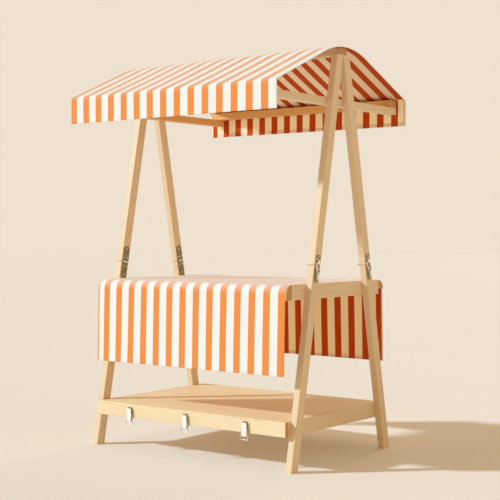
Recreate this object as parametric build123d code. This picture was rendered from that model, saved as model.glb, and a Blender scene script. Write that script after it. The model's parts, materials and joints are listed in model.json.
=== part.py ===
from build123d import *
import os
from math import acos, atan, atan2, cos, degrees, hypot, radians, sin, sqrt, tan

# Wooden market stall, millimetres. +Z is up, +X runs along the stall, the customer stands at -Y.
# The origin is on the ground, under the middle of the stall.

# End frames: two pairs of leaning legs, split above the counter
frame_length = 1370.0          # over the outer faces of the two end frames
foot_spread = 932.0            # front foot to rear foot, over the outer edges
leg_top = 2106.0               # level cut that carries the ridge beam
leg_thickness = 38.0           # along the stall
leg_width = 56.0               # across the leg, in the plane of the frame
apex_gap = 0.4                 # between the two legs of a frame, at their top
joint_above_counter = 94.0     # square cut that parts upper leg from lower leg
timber_bevel = 2.0             # planed arris on the long edges of every bar
timber_chamfer = 1.2           # small bevel on sawn ends

# Roof bars
ridge_width = 56.0
ridge_height = 38.0
tie_width = 56.0
tie_height = 38.0
eave_rail_width = 54.0
eave_rail_height = 42.0
eave_reach = 597.0             # middle of the stall to the outer face of an eave rail

# Canopy: one sheet over the ridge, with a valance at the front and the rear
canopy_gable_overhang = 16.0    # canopy past the outer face of each end frame
canopy_slope = 23.8            # degrees
canopy_ridge_radius = 481.0
canopy_overhang = 10.5         # eave rail to the inside of the valance
canopy_fold_radius = 13.5
canopy_thickness = 2.5
valance_drop = 140.0
sheet_clearance = 0.3          # between a sheet and what it lies on

# Counter
counter_top_height = 924.0
counter_depth = 914.0
counter_board_thickness = 18.0
end_board_depth = 75.0
end_board_thickness = 25.0
nosing_width = 48.0
nosing_radius = 45.0
front_nosing_height = 75.0
rear_nosing_height = 47.0

# Cloth over the counter
cloth_end_inset = 5.0          # end frame to the side edge of the cloth
cloth_thickness = 2.0
cloth_hang_length = 449.0      # counter top to the lower edge
cloth_flare = 1.6              # degrees off plumb

# Bottom shelf
shelf_top_height = 249.0
shelf_depth = 926.0
shelf_rail_depth = 75.0
shelf_rail_thickness = 25.0
shelf_board_thickness = 18.0

# Leg hinges
hinge_width = 44.0
hinge_leaf_length = 90.0
hinge_sheet = 2.5
hinge_tip_round = 18.0
hinge_knuckle_count = 3
hinge_knuckle_gap = 0.4
hinge_barrel_radius = 4.5
hinge_pin_radius = 2.2
hinge_pin_clearance = 0.05
hinge_screw_side = 9.5         # side edge to the two screws abreast
hinge_screw_near = 24.0        # middle of the barrel to those two
hinge_screw_tip = 17.0         # tip to the third screw

# Draw latches, shared sizes
latch_sheet = 2.0
latch_lever_sheet = 1.5
latch_wire_radius = 2.0
latch_pin_radius = 2.0
latch_clearance = 0.3
latch_pin_clearance = 0.1
latch_pivot_height = 7.0
latch_pivot_inset = 9.0        # base edge to the lever's pin
latch_bail_offset = 9.0        # lever's pin to the bail's ends
latch_ear_half = 5.0
latch_lever_top = 12.0
latch_wall_bend = 1.3          # bail's corners beside the lever, cut back by this much
latch_far_bend = 4.0           # bail's corners at its cross bar

# Draw latches on the legs
leg_latch_base_width = 40.0
leg_latch_base_length = 78.0
leg_latch_base_round = 17.0
leg_latch_lever_width = 22.0   # over the two arms of the lever's fork
leg_latch_arm_width = 3.5
leg_latch_tongue_width = 9.0
leg_latch_lever_nose = 5.0     # lever past its pin
leg_latch_arm_length = 13.0    # pin to where the arms turn inwards
leg_latch_fork_length = 10.0   # from there to the tongue
leg_latch_lever_margin = 15.0  # base left showing past the lever's tip
leg_latch_joint_gap = 8.0      # joint line to the edge of the base
leg_latch_screw_near = 22.0    # base edge to the screw in the fork
leg_latch_screw_far = 7.5      # far edge to the screw past the lever's tip
strike_width = 34.0
strike_length = 44.0
strike_round = 9.0
strike_joint_gap = 12.0        # joint line to the middle of the hook
hook_width = 22.0
hook_bore_radius = 2.45
hook_lip_length = 14.0
strike_screw_side = 7.0        # side edge to the two screws abreast
strike_screw_near = 21.0       # middle of the hook to those two
strike_screw_top = 8.0         # top edge to the third screw

# Draw latches on the front rail of the shelf
rail_latch_count = 3
rail_latch_end_inset = 249.0   # end frame to the middle of the outermost latch
rail_latch_base_width = 32.0
rail_latch_base_length = 57.0
rail_latch_base_round = 3.0
rail_latch_lever_width = 34.0
rail_latch_tip_width = 32.0
rail_latch_nose_width = 22.0
rail_latch_lever_nose = 27.0   # lever past its pin, below the rail
rail_latch_nose_taper = 8.0
rail_latch_lever_margin = 5.0  # base left showing past the lever's tip
rail_latch_top_gap = 17.0      # top of the rail to the top of the base
rail_latch_bail_width = 44.0   # between the middles of the wire
rail_latch_bail_reach = 53.0
rail_latch_screw_near = 26.0   # base edge to the nearer screw
rail_latch_screw_far = 11.0    # far edge to the other

# Countersunk screw holes in the hinges and the latches
screw_hole_radius = 2.1
screw_head_radius = 3.7
screw_hole_sides = 8

# Flat sides round a pin, a wire or a hole for one
rod_sides = 12

# Worked out from the sizes above
half_length = frame_length / 2
inner_half = half_length - leg_thickness
canopy_length = frame_length + 2 * canopy_gable_overhang
cloth_length = 2 * (inner_half - cloth_end_inset)
rail_latch_pitch = 2 * (inner_half - rail_latch_end_inset) / (rail_latch_count - 1)
half_foot = foot_spread / 2
leg_run = half_foot - apex_gap / 2
lean = acos(leg_width / hypot(leg_run, leg_top)) - atan2(leg_top, leg_run)
leg_foot_y = half_foot - leg_width / cos(lean) / 2
leg_joint_height = counter_top_height + joint_above_counter
SIDES = {"left": -1, "right": 1}
ENDS = {"front": -1, "rear": 1}


def save(node, *solids):
    """Write the solids of one node to parts/."""
    shape = solids[0] if len(solids) == 1 else Compound(children=list(solids))
    export_step(shape, f"parts/{node}.step")


def timber_section(width, height):
    return chamfer(Rectangle(width, height).vertices(), timber_bevel)


def bar(length, width, height):
    """Planed bar along X, centred on X and Y, standing on z = 0, with bevelled sawn ends."""
    section = Plane.YZ.offset(-length / 2) * Pos(0, height / 2) * timber_section(width, height)
    solid = extrude(section, length)
    ends = solid.faces().filter_by(Axis.X)
    return chamfer(ends.edges(), timber_chamfer)


def bar_along_y(length, width, height):
    return Rot(0, 0, 90) * bar(length, width, height)


def rod(radius, length):
    """Rod along X, centred on the origin."""
    return Rot(0, 90, 0) * extrude(RegularPolygon(radius, rod_sides), length / 2, both=True)


# Legs

def leg_centre_y(end, height):
    return end * (leg_foot_y - height * tan(lean))


def leg_joint_point(side, end):
    x = side * (half_length - leg_thickness / 2)
    return Vector(x, leg_centre_y(end, leg_joint_height), leg_joint_height)


def leg_direction(end):
    """Unit vector up the leg."""
    return Vector(0, -end * sin(lean), cos(lean))


def leg_bar(side, end, up, length):
    """Bar from the joint, up or down the leg, with its end face at the joint bevelled."""
    joint = leg_joint_point(side, end)
    plane = Plane(origin=joint, x_dir=(1, 0, 0), z_dir=leg_direction(end) * up)
    solid = extrude(plane * timber_section(leg_thickness, leg_width), length)
    joint_face = solid.faces().sort_by_distance(joint)[0]
    return chamfer(joint_face.edges(), timber_chamfer)


def lower_leg(side, end):
    reach = leg_joint_height / cos(lean) + leg_width
    return split(leg_bar(side, end, -1, reach), bisect_by=Plane.XY, keep=Keep.TOP)


def upper_leg(side, end):
    reach = (leg_top - leg_joint_height) / cos(lean) + leg_width
    return split(leg_bar(side, end, 1, reach), bisect_by=Plane.XY.offset(leg_top), keep=Keep.BOTTOM)


# Canopy and roof bars

ridge_top = leg_top + ridge_height
ridge_inner_drop = canopy_ridge_radius - sqrt(canopy_ridge_radius**2 - (ridge_width / 2) ** 2)
canopy_inner_apex = ridge_top + sheet_clearance + ridge_inner_drop
canopy_inner_half = eave_reach + canopy_overhang


def canopy_slope_height(y):
    """Height of the canopy's inner face on its straight slope."""
    slope = radians(canopy_slope)
    peak = canopy_inner_apex + canopy_ridge_radius * (1 / cos(slope) - 1)
    return peak - y * tan(slope)


eave_rail_top = canopy_slope_height(eave_reach) - sheet_clearance
eave_rail_bottom = eave_rail_top - eave_rail_height
tie_bottom = eave_rail_bottom - tie_height
valance_bottom = canopy_slope_height(canopy_inner_half) - valance_drop


def canopy_face(grow):
    """Region under the canopy's inner face, grown outwards: ridge arc, slopes, folds and valances."""
    slope = radians(canopy_slope)
    ridge_radius = canopy_ridge_radius + grow
    fold_radius = canopy_fold_radius + grow
    half = canopy_inner_half + grow
    ridge_centre = canopy_inner_apex - canopy_ridge_radius
    slope_offset = ridge_radius + ridge_centre * cos(slope)
    fold_y = half - fold_radius
    fold_z = (slope_offset - fold_radius - fold_y * sin(slope)) / cos(slope)
    middle = (radians(90) + slope) / 2
    foot = (half, valance_bottom)
    fold_low = (half, fold_z)
    fold_mid = (fold_y + fold_radius * sin(middle), fold_z + fold_radius * cos(middle))
    fold_high = (fold_y + fold_radius * sin(slope), fold_z + fold_radius * cos(slope))
    ridge_end = (ridge_radius * sin(slope), ridge_centre + ridge_radius * cos(slope))
    apex = (0, ridge_centre + ridge_radius)

    def mirrored(point):
        return (-point[0], point[1])

    outline = [
        Line(foot, fold_low),
        ThreePointArc(fold_low, fold_mid, fold_high),
        Line(fold_high, ridge_end),
        ThreePointArc(ridge_end, apex, mirrored(ridge_end)),
        Line(mirrored(ridge_end), mirrored(fold_high)),
        ThreePointArc(mirrored(fold_high), mirrored(fold_mid), mirrored(fold_low)),
        Line(mirrored(fold_low), mirrored(foot)),
        Line(mirrored(foot), foot),
    ]
    return make_face(outline)


def sheet_between(outer, inner, length):
    """Sheet along X between two regions drawn in Y and Z."""
    plane = Plane.YZ.offset(-length / 2)
    return extrude(plane * outer, length) - extrude(plane * inner, length)


def canopy():
    return sheet_between(canopy_face(canopy_thickness), canopy_face(0), canopy_length)


def ridge_beam():
    return Pos(0, 0, leg_top) * bar(frame_length, ridge_width, ridge_height)


def tie_beam(side):
    x = side * (inner_half - tie_width / 2)
    return Pos(x, 0, tie_bottom) * bar_along_y(2 * eave_reach, tie_width, tie_height)


def eave_rail(end):
    y = end * (eave_reach - eave_rail_width / 2)
    return Pos(0, y, eave_rail_bottom) * bar(2 * inner_half, eave_rail_width, eave_rail_height)


# Counter and its cloth

half_counter = counter_depth / 2


def counter_board():
    width = counter_depth - 2 * nosing_width
    length = 2 * (inner_half - end_board_thickness)
    board = Box(length, width, counter_board_thickness)
    return Pos(0, 0, counter_top_height - counter_board_thickness / 2) * board


def counter_end_board(side):
    length = counter_depth - 2 * nosing_width
    x = side * (inner_half - end_board_thickness / 2)
    z = counter_top_height - end_board_depth
    return Pos(x, 0, z) * bar_along_y(length, end_board_thickness, end_board_depth)


def counter_nosing(end, height):
    """Rail along the counter, its outer top edge a quarter round."""
    block = Box(2 * inner_half, nosing_width, height)
    edges = block.edges().filter_by(Axis.X).group_by(Axis.Z)[-1].sort_by(Axis.Y)
    outer_edge = edges[-1] if end > 0 else edges[0]
    y = end * (half_counter - nosing_width / 2)
    return Pos(0, y, counter_top_height - height / 2) * fillet(outer_edge, nosing_radius)


def cloth_face(grow):
    """Region under the cloth: flat top, quarter rounds over the nosings, and two hanging sides."""
    flare = radians(cloth_flare)
    radius = nosing_radius + grow
    centre_y = half_counter - nosing_radius
    centre_z = counter_top_height - nosing_radius
    top = centre_z + radius
    turn = (radians(90) + flare) / 2
    hang_top = (centre_y + radius * cos(flare), centre_z + radius * sin(flare))
    bottom = counter_top_height - cloth_hang_length
    hang_bottom = (hang_top[0] + (hang_top[1] - bottom) * tan(flare), bottom)
    turn_mid = (centre_y + radius * cos(turn), centre_z + radius * sin(turn))
    turn_top = (centre_y, top)

    def mirrored(point):
        return (-point[0], point[1])

    outline = [
        Line(hang_bottom, hang_top),
        ThreePointArc(hang_top, turn_mid, turn_top),
        Line(turn_top, mirrored(turn_top)),
        ThreePointArc(mirrored(turn_top), mirrored(turn_mid), mirrored(hang_top)),
        Line(mirrored(hang_top), mirrored(hang_bottom)),
        Line(mirrored(hang_bottom), hang_bottom),
    ]
    return make_face(outline)


def counter_cloth():
    outer = cloth_face(sheet_clearance + cloth_thickness)
    return sheet_between(outer, cloth_face(sheet_clearance), cloth_length)


# Bottom shelf

shelf_rail_bottom = shelf_top_height - shelf_rail_depth
half_shelf = shelf_depth / 2


def shelf_board():
    length = 2 * (inner_half - shelf_rail_thickness)
    width = shelf_depth - 2 * shelf_rail_thickness
    board = Box(length, width, shelf_board_thickness)
    return Pos(0, 0, shelf_top_height - shelf_board_thickness / 2) * board


def shelf_long_rail(end):
    y = end * (half_shelf - shelf_rail_thickness / 2)
    return Pos(0, y, shelf_rail_bottom) * bar(2 * inner_half, shelf_rail_thickness, shelf_rail_depth)


def shelf_side_rail(side):
    x = side * (inner_half - shelf_rail_thickness / 2)
    length = shelf_depth - 2 * shelf_rail_thickness
    return Pos(x, 0, shelf_rail_bottom) * bar_along_y(length, shelf_rail_thickness, shelf_rail_depth)


# Hinges and latches: shared forms

def drilled(plate, sheet, places):
    """Plate lying on z = 0, with countersunk holes at places."""
    flare = degrees(atan((screw_head_radius - screw_hole_radius) / sheet))
    prism = extrude(RegularPolygon(screw_hole_radius, screw_hole_sides, major_radius=False), sheet)
    hole = draft(prism.faces().filter_by(Axis.Z, reverse=True), Plane.XY, flare)
    for x, y in places:
        plate = plate - Pos(x, y) * hole
    return plate


def screw_triangle(half_width, near, far):
    """Places of two screws abreast and of a third beyond them, on the middle line."""
    return [(-half_width, near), (half_width, near), (0, far)]


def face_plane(side, end, outward):
    """Plane on the outer or inner face of a leg at its joint: x across the leg, y up the leg."""
    normal = Vector(side * outward, 0, 0)
    up = leg_direction(end)
    origin = leg_joint_point(side, end) + normal * (leg_thickness / 2)
    return Plane(origin=origin, x_dir=up.cross(normal), z_dir=normal)


# Hinges on the inner faces of the legs

def hinge_leaf(up, knuckles):
    """Leaf with a round tip, and its own knuckles rolled round the pin."""
    start = hinge_barrel_radius + hinge_knuckle_gap
    length = hinge_leaf_length - start
    plate = Pos(0, up * (start + length / 2), hinge_sheet / 2) * Box(hinge_width, length, hinge_sheet)
    tip_edges = plate.edges().filter_by(Axis.Z).group_by(Axis.Y)[-1 if up > 0 else 0]
    screw_half = hinge_width / 2 - hinge_screw_side
    screws = screw_triangle(screw_half, up * hinge_screw_near, up * (hinge_leaf_length - hinge_screw_tip))
    leaf = drilled(fillet(tip_edges, hinge_tip_round), hinge_sheet, screws)
    pitch = hinge_width / hinge_knuckle_count
    width = pitch - hinge_knuckle_gap
    for index in knuckles:
        x = (index + 0.5) * pitch - hinge_width / 2
        tab = Pos(x, up * start / 2, hinge_sheet / 2) * Box(width, start, hinge_sheet)
        barrel = Pos(x, 0, hinge_barrel_radius) * Rot(0, 90, 0) * Cylinder(hinge_barrel_radius, width)
        leaf = leaf + tab + barrel
    bore_radius = hinge_pin_radius + hinge_pin_clearance
    return leaf - Pos(0, 0, hinge_barrel_radius) * rod(bore_radius, 2 * hinge_width)


def hinge_pin():
    return Pos(0, 0, hinge_barrel_radius) * rod(hinge_pin_radius, hinge_width)


def leg_hinge(side, end):
    plane = face_plane(side, end, -1)
    middle = [index for index in range(hinge_knuckle_count) if index % 2]
    outer = [index for index in range(hinge_knuckle_count) if index % 2 == 0]
    return [plane * hinge_leaf(1, middle), plane * hinge_leaf(-1, outer), plane * hinge_pin()]


# Draw latches: base from y = -length to 0, bail towards +y, lever shut over the base

def latch_base(width, length, corner_round, lever_width, screw_near, screw_far):
    """Plate with two screws, and the lever's pin in two ears."""
    plate = Pos(0, -length / 2, latch_sheet / 2) * Box(width, length, latch_sheet)
    far_edges = plate.edges().filter_by(Axis.Z).group_by(Axis.Y)[0]
    screws = [(0, -screw_near), (0, screw_far - length)]
    base = drilled(fillet(far_edges, corner_round), latch_sheet, screws)
    ear_outer = lever_width / 2 - latch_lever_sheet - latch_clearance
    ear_x = ear_outer - latch_sheet / 2
    ear_height = latch_pivot_height + latch_pin_radius + latch_lever_sheet / 2
    for hand in (-1, 1):
        ear = Box(latch_sheet, 2 * latch_ear_half, ear_height)
        base = base + Pos(hand * ear_x, -latch_pivot_inset, ear_height / 2) * ear
    pin = rod(latch_pin_radius, lever_width - latch_pin_clearance)
    return base + Pos(0, -latch_pivot_inset, latch_pivot_height) * pin


def mirrored_face(stations):
    """Face between points given on its right half, from one end to the other, and their mirror images."""
    left = [(-x, y) for x, y in reversed(stations)]
    return make_face(Polyline(*stations, *left, close=True))


def latch_lever(outline, lever_width):
    """Folded lever over an outline: a top sheet with walls all round, open towards the base."""
    bottom = latch_sheet + latch_clearance
    core = offset(outline, amount=-latch_lever_sheet, kind=Kind.INTERSECTION)
    lever = Pos(0, 0, bottom) * extrude(outline, latch_lever_top - bottom)
    lever = lever - extrude(core, latch_lever_top - latch_lever_sheet)
    pin_hole = rod(latch_pin_radius + latch_pin_clearance, 2 * lever_width)
    bail_hole = rod(latch_wire_radius + latch_pin_clearance, 2 * lever_width)
    lever = lever - Pos(0, -latch_pivot_inset, latch_pivot_height) * pin_hole
    return lever - Pos(0, -latch_pivot_inset - latch_bail_offset, latch_pivot_height) * bail_hole


def fork_lever():
    """Lever of a leg latch: two arms, open between them, that run into a narrow tongue."""
    half = leg_latch_lever_width / 2
    tongue = leg_latch_tongue_width / 2
    nose = leg_latch_lever_nose - latch_pivot_inset
    bend = -latch_pivot_inset - leg_latch_arm_length
    neck = bend - leg_latch_fork_length
    tip = leg_latch_lever_margin - leg_latch_base_length
    lever = latch_lever(mirrored_face([(half, nose), (half, bend), (tongue, neck), (tongue, tip)]), 2 * half)
    gap = half - leg_latch_arm_width
    gap_end = tongue - leg_latch_arm_width
    window = mirrored_face([(gap, 2 * leg_latch_lever_nose), (gap, bend), (gap_end, neck)])
    inside = half - latch_lever_sheet
    nose_opening = Pos(0, nose) * Rectangle(2 * inside, 2 * latch_lever_sheet + latch_clearance)
    lever = lever - extrude(window, 2 * latch_lever_top)
    return lever - extrude(nose_opening, latch_lever_top - latch_lever_sheet)


def plate_lever():
    """Lever of a rail latch: a broad plate whose nose hangs below the base, tapered at its end."""
    half = rail_latch_lever_width / 2
    nose = rail_latch_lever_nose - latch_pivot_inset
    tip = rail_latch_lever_margin - rail_latch_base_length
    stations = [
        (rail_latch_nose_width / 2, nose),
        (half, nose - rail_latch_nose_taper),
        (rail_latch_tip_width / 2, tip),
    ]
    return latch_lever(mirrored_face(stations), 2 * half)


def cut_corners(points, cuts):
    """Route whose inner points are each replaced by two, cut back along the runs that meet there."""
    corners = [Vector(*point) for point in points]
    route = [corners[0]]
    for before, corner, after, cut in zip(corners, corners[1:], corners[2:], cuts):
        route.append(corner + (before - corner).normalized() * cut)
        route.append(corner + (after - corner).normalized() * cut)
    return route + [corners[-1]]


def latch_bail(lever_width, near_half, far_half, reach, end_height):
    """Wire loop from the lever's walls to a cross bar, reach away and at end_height."""
    start_y = -latch_pivot_inset - latch_bail_offset
    inner = lever_width / 2 - latch_lever_sheet - latch_wire_radius
    ends = [
        (-inner, start_y, latch_pivot_height),
        (-near_half, start_y, latch_pivot_height),
        (-far_half, start_y + reach, end_height),
        (far_half, start_y + reach, end_height),
        (near_half, start_y, latch_pivot_height),
        (inner, start_y, latch_pivot_height),
    ]
    path = Polyline(*cut_corners(ends, [latch_wall_bend, latch_far_bend, latch_far_bend, latch_wall_bend]))
    start = Plane(origin=path @ 0, x_dir=(0, 0, -1), z_dir=path % 0)
    return sweep(start * RegularPolygon(latch_wire_radius, rod_sides), path=path, transition=Transition.RIGHT)


def strike():
    """Plate with a hook folded out of its lower edge; the hook's middle is at y = 0."""
    centre_z = latch_sheet + hook_bore_radius
    outer_radius = centre_z
    lip_z = centre_z + hook_bore_radius + latch_sheet / 2
    ring = Pos(0, centre_z) * (Circle(outer_radius) - Circle(hook_bore_radius))
    open_side = Pos(outer_radius, centre_z) * Rectangle(2 * outer_radius, 2 * outer_radius)
    lip = Pos(hook_lip_length / 2, lip_z) * Rectangle(hook_lip_length, latch_sheet)
    root = Pos(hook_lip_length / 2, latch_sheet / 2) * Rectangle(hook_lip_length, latch_sheet)
    profile = Plane.YZ.offset(-hook_width / 2) * ((ring - open_side) + lip + root)
    hook = extrude(profile, hook_width)
    plate = Box(strike_width, strike_length - outer_radius, latch_sheet)
    plate = Pos(0, strike_length / 2 + outer_radius / 2, latch_sheet / 2) * plate
    top_edges = plate.edges().filter_by(Axis.Z).group_by(Axis.Y)[-1]
    screw_half = strike_width / 2 - strike_screw_side
    screws = screw_triangle(screw_half, strike_screw_near, strike_length - strike_screw_top)
    return drilled(fillet(top_edges, strike_round), latch_sheet, screws) + hook


def leg_latch(side, end):
    plane = face_plane(side, end, 1) * Pos(0, -leg_latch_joint_gap, 0)
    hook_height = latch_sheet + hook_bore_radius
    slack = hook_bore_radius - latch_wire_radius
    hook_y = leg_latch_joint_gap + strike_joint_gap - slack / 2
    reach = hook_y + latch_pivot_inset + latch_bail_offset
    width = leg_latch_lever_width
    near_half = width / 2 + latch_wire_radius + latch_clearance
    far_half = hook_width / 2 + latch_far_bend + latch_wire_radius / 2 + latch_clearance
    size = (leg_latch_base_width, leg_latch_base_length, leg_latch_base_round)
    base = latch_base(*size, width, leg_latch_screw_near, leg_latch_screw_far)
    bail = latch_bail(width, near_half, far_half, reach, hook_height)
    return [plane * base, plane * fork_lever(), plane * bail]


def leg_strike(side, end):
    return face_plane(side, end, 1) * Pos(0, strike_joint_gap, 0) * strike()


def rail_latch(index):
    """Latch on the front rail of the shelf, lever up, bail hanging free."""
    x = (index - (rail_latch_count - 1) / 2) * rail_latch_pitch
    z = shelf_top_height - rail_latch_top_gap - rail_latch_base_length
    plane = Plane(origin=(x, -half_shelf, z), x_dir=(-1, 0, 0), z_dir=(0, -1, 0))
    width = rail_latch_lever_width
    bail_half = rail_latch_bail_width / 2
    size = (rail_latch_base_width, rail_latch_base_length, rail_latch_base_round)
    base = latch_base(*size, width, rail_latch_screw_near, rail_latch_screw_far)
    bail = latch_bail(width, bail_half, bail_half, rail_latch_bail_reach, latch_pivot_height)
    return [plane * base, plane * plate_lever(), plane * bail]


def build_frames():
    for side_name, side in SIDES.items():
        for end_name, end in ENDS.items():
            corner = f"{side_name}_{end_name}"
            save(f"{corner}_lower_leg", lower_leg(side, end))
            save(f"{corner}_upper_leg", upper_leg(side, end))
            save(f"{corner}_leg_hinge", *leg_hinge(side, end))
            save(f"{corner}_leg_latch", *leg_latch(side, end))
            save(f"{corner}_latch_strike", leg_strike(side, end))


def build_roof():
    save("ridge_beam", ridge_beam())
    for side_name, side in SIDES.items():
        save(f"{side_name}_tie_beam", tie_beam(side))
    for end_name, end in ENDS.items():
        save(f"{end_name}_eave_rail", eave_rail(end))
    save("canopy", canopy())


def build_counter():
    save("counter_board", counter_board())
    save("counter_front_nosing", counter_nosing(ENDS["front"], front_nosing_height))
    save("counter_rear_nosing", counter_nosing(ENDS["rear"], rear_nosing_height))
    for side_name, side in SIDES.items():
        save(f"counter_{side_name}_end_board", counter_end_board(side))
    save("counter_cloth", counter_cloth())


def build_shelf():
    save("shelf_board", shelf_board())
    for end_name, end in ENDS.items():
        save(f"shelf_{end_name}_rail", shelf_long_rail(end))
    for side_name, side in SIDES.items():
        save(f"shelf_{side_name}_rail", shelf_side_rail(side))
    for index in range(rail_latch_count):
        save(f"shelf_rail_latch_{index + 1}", *rail_latch(index))


os.makedirs("parts", exist_ok=True)
build_frames()
build_roof()
build_counter()
build_shelf()
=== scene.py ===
import json
import math
import random

import bmesh
import bpy
from bpy.props import FloatProperty, FloatVectorProperty, IntProperty, PointerProperty
from mathutils import Color, Matrix, Vector, noise


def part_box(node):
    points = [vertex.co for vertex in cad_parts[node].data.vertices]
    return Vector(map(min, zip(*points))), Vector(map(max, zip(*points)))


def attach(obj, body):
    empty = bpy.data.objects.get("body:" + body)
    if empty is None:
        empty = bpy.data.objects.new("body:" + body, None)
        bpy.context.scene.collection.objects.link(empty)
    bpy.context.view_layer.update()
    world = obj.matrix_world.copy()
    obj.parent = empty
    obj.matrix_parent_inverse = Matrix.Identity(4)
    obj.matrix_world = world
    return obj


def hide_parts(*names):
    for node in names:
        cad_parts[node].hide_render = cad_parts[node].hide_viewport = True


bl_info = {
    "name": "Market Stall",
    "version": (1, 0, 0),
    "blender": (4, 5, 0),
    "location": "View3D > Sidebar > Stall",
    "description": "Timber, striped canvas and zinc fittings of a wooden market stall",
    "category": "Add Mesh",
}

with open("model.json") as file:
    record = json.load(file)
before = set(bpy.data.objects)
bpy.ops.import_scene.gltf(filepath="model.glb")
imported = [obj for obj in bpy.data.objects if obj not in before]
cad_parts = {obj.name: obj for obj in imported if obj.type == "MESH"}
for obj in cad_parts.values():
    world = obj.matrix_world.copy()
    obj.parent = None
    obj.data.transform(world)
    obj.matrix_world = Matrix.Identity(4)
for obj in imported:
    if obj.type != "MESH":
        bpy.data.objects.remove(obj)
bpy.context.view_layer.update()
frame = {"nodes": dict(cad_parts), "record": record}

BODY = "root"
SIDES = {"left": -1, "right": 1}
ENDS = ("front", "rear")
LEG_CORNERS = [(side, end) for side in SIDES for end in ENDS]
MILLIMETRE = 0.001
SCREEN_WHITE = 255


def linear(*screen):
    """A colour that is written as 0 to 255 on screen, as scene-linear values."""
    return tuple(Color([value / SCREEN_WHITE for value in screen]).from_srgb_to_scene_linear())


def shaded(tint, share):
    """A darker tone of a colour."""
    return tuple(share * part for part in tint)


def colour(name, description, *screen):
    settings = {"subtype": "COLOR", "size": 3, "min": 0, "max": 1}
    return FloatVectorProperty(name=name, description=description, default=linear(*screen), **settings)


def point(name, description, *metres):
    settings = {"subtype": "XYZ", "unit": "LENGTH"}
    return FloatVectorProperty(name=name, description=description, default=metres, **settings)


def number(name, description, value, **settings):
    return FloatProperty(name=name, description=description, default=value, **settings)


def length(name, description, millimetres):
    return number(name, description, millimetres * MILLIMETRE, subtype="DISTANCE", unit="LENGTH")


def angle(name, description, degrees):
    return number(name, description, math.radians(degrees), subtype="ANGLE")


def factor(name, description, value):
    return number(name, description, value, min=0, max=1, subtype="FACTOR")


def count(name, description, value):
    return IntProperty(name=name, description=description, default=value, min=1)


class TimberSettings(bpy.types.PropertyGroup):
    """Planed softwood with a thin clear finish."""

    early_wood: colour("Early wood", "Pale wood between the ring lines", 237, 213, 176)
    late_wood: colour("Late wood", "Darker wood of the ring lines", 203, 154, 97)
    end_grain: colour("End grain", "Sawn ends, which soak up more finish", 198, 150, 94)
    board_wood: colour("Board wood", "Pale wood of the counter's and the shelf's boards", 250, 225, 185)
    # Painted light: a more orange wood on the eave rails and the left tie, standing in for orange light
    # thrown on them by the canopy's stripes
    bounce_painted_wood: colour("Warm wood", "Pale wood of the eave rails and of the left tie", 238, 184, 110)
    # Painted light: the shelf's front rail is paler than the other bars, standing in for the sun on its front
    sunlit_painted_rail_wood: colour("Rail wood", "Pale wood of the shelf's front rail", 246, 227, 188)
    # Partly real grime, partly painted shade: the dark bevels stand in for the shadow in the V of the cut
    seam: colour("Seam", "Bevels of the cut that parts a leg", 112, 76, 40)
    ring_spacing: length("Ring spacing", "From one growth ring to the next", 3.4)
    roughness: factor("Roughness", "Roughness of the finish", 0.52)


class CanvasSettings(bpy.types.PropertyGroup):
    """Woven stripes of the canopy and the counter cloth."""

    stripe: colour("Stripe", "Orange stripes, on the outer face", 246, 150, 74)
    ground: colour("Ground", "White stripes, on the outer face", 247, 250, 249)
    # Painted shade: the inner colours are the outer stripes with shade painted in, a deeper, more saturated
    # orange and a warmer white. They stand in for the shade under the canopy and the cloth. Inner faces, hems
    # and the lining use them.
    shade_painted_stripe: colour("Inner stripe", "Orange stripes, on the shaded inner face", 196, 80, 15)
    shade_painted_ground: colour("Inner ground", "Warm white stripes, on the shaded inner face", 255, 231, 202)
    thread: colour("Thread", "Sewing thread of the hems", 246, 236, 214)
    thickness: length("Thickness", "Thickness of the canvas", 0.9)
    weave_pitch: length("Weave pitch", "From one yarn to the next", 1.1)


class CanopySettings(bpy.types.PropertyGroup):
    """The sheet over the roof bars."""

    slope: angle("Slope", "Fall of each side of the roof", 23.8)
    ridge_radius: length("Ridge radius", "Round of the sheet over the ridge beam", 482)
    fold_radius: length("Fold radius", "Round of the sheet over an eave rail", 14.7)
    stripe_pitch: length("Stripe pitch", "From one orange stripe to the next", 93.3)
    stripe_width: length("Stripe width", "Width of an orange stripe", 44)
    first_stripe: length("First stripe", "Left edge of the first orange stripe, from the middle", -699)
    stripes: count("Stripes", "Number of orange stripes", 15)
    end_hem: length("End hem", "Canvas turned under at the open ends of the roof", 13)
    edge_hem: length("Edge hem", "Canvas turned up at the foot of each valance", 18)
    sag: length("Sag", "Depth that the sheet sinks between the ridge and an eave", 3)
    ripple: length("Ripple", "Depth of the waves at the foot of a valance", 2.2)
    # Painted sheen: the stripes are blended toward the white on the roof's slopes, standing in for the pale
    # glare of the slopes seen at a grazing angle
    painted_sheen: factor("Fading", "How much paler the stripes are on the roof's slopes", 0.27)


class LiningSettings(bpy.types.PropertyGroup):
    """The second sheet, sewn under the roof's slopes."""

    stripe_pitch: length("Stripe pitch", "From one orange stripe to the next", 92.9)
    stripe_width: length("Stripe width", "Width of an orange stripe", 45)
    first_stripe: length("First stripe", "Left edge of the first orange stripe, from the middle", -642.6)
    stripes: count("Stripes", "Number of orange stripes", 15)
    thickness: length("Thickness", "Thickness of the lining", 0.5)
    level: length("Level", "Middle of the lining below the middle of the canopy", 1.8)
    end_inset: length("End inset", "Edge of the canopy to the edge of the lining at the open ends", 2.5)
    eave_inset: length("Eave inset", "Fold of the canopy to the edge of the lining over an eave rail", 12)


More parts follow.
